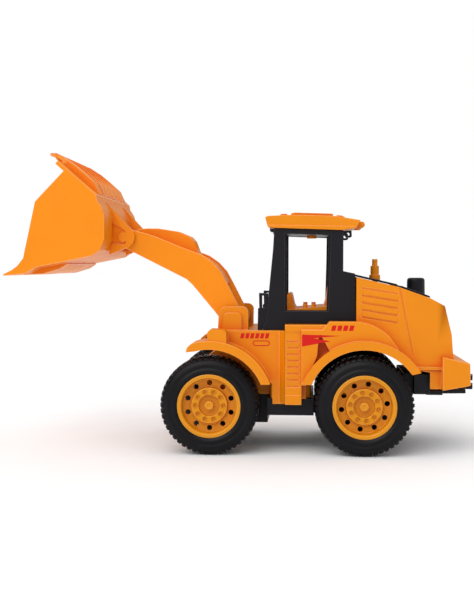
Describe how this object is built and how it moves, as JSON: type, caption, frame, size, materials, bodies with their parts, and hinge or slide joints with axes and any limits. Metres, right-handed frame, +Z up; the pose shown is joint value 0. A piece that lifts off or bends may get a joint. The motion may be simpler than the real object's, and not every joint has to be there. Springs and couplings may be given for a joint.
{
  "type": "toy front loader",
  "caption": "Toy wheel loader with friction drive, raised lifting arm, tipping bucket, open cab, rolling rubber tyres and a rear tow hitch.",
  "frame": {"origin": "on the floor under the middle of the whole length and width, with the arm raised", "axes": "+X to the loader's front, +Y to its left side, +Z up"},
  "size_m": [0.2896, 0.112, 0.1874],
  "materials": {
    "orange_plastic": "satin moulded ABS",
    "bright_orange_plastic": "satin moulded polypropylene",
    "rim_plastic": "satin moulded ABS",
    "black_plastic": "satin moulded ABS",
    "tyre_rubber": "matte soft rubber",
    "steel": "zinc plated",
    "natural_nylon": "moulded nylon"
  },
  "bodies": {
    "chassis": {"chassis_tray": "black_plastic", "front_body": "orange_plastic", "rear_body": "orange_plastic", "hood_cover": "black_plastic", "exhaust_stack": "orange_plastic", "air_cleaner": "black_plastic", "cab_frame": "black_plastic", "cab_roof": "orange_plastic", "cab_interior": "bright_orange_plastic", "grab_rails": "black_plastic", "tow_hitch": "black_plastic", "gearbox_left": "black_plastic", "gearbox_right": "black_plastic", "gearbox_screws": "steel", "chassis_screws": "steel", "cab_screws": "steel"},
    "front_wheels": {"front_axle": "steel", "axle_gear": "natural_nylon", "front_rim_left": "rim_plastic", "front_rim_right": "rim_plastic", "front_tyre_left": "tyre_rubber", "front_tyre_right": "tyre_rubber"},
    "rear_wheels": {"rear_axle": "steel", "rear_rim_left": "rim_plastic", "rear_rim_right": "rim_plastic", "rear_tyre_left": "tyre_rubber", "rear_tyre_right": "tyre_rubber"},
    "idler": {"idler_shaft": "steel", "idler_gear": "natural_nylon"},
    "flywheel_set": {"flywheel_shaft": "steel", "flywheel_pinion": "natural_nylon", "flywheel": "steel"},
    "arm": {"lift_arm": "bright_orange_plastic", "arm_pivot_rod": "steel"},
    "bucket_set": {"bucket": "bright_orange_plastic", "bucket_pin_left": "bright_orange_plastic", "bucket_pin_right": "bright_orange_plastic"}
  },
  "joints": [
    {"name": "front_axle_spin", "type": "hinge", "parent": "chassis", "child": "front_wheels", "pos_m": [0.02, 0, 0.03], "axis": [0, 1, 0], "continuous": true},
    {"name": "rear_axle_spin", "type": "hinge", "parent": "chassis", "child": "rear_wheels", "pos_m": [-0.0735, 0, 0.03], "axis": [0, 1, 0], "continuous": true},
    {"name": "idler_spin", "type": "hinge", "parent": "chassis", "child": "idler", "pos_m": [0.00975, 0, 0.038], "axis": [0, 1, 0], "continuous": true},
    {"name": "flywheel_spin", "type": "hinge", "parent": "chassis", "child": "flywheel_set", "pos_m": [-0.0005, 0, 0.03], "axis": [0, 1, 0], "continuous": true},
    {"name": "arm_lift", "type": "hinge", "parent": "chassis", "child": "arm", "pos_m": [0.0066, 0, 0.0816], "axis": [0, -1, 0], "range_deg": [-86, 5]},
    {"name": "bucket_tilt", "type": "hinge", "parent": "arm", "child": "bucket_set", "pos_m": [0.0757, 0, 0.1326], "axis": [0, -1, 0], "range_deg": [-35, 90]}
  ],
  "couplings": [
    {"joint": "idler_spin", "follows": "front_axle_spin", "ratio": -3},
    {"joint": "flywheel_spin", "follows": "front_axle_spin", "ratio": 9}
  ]
}
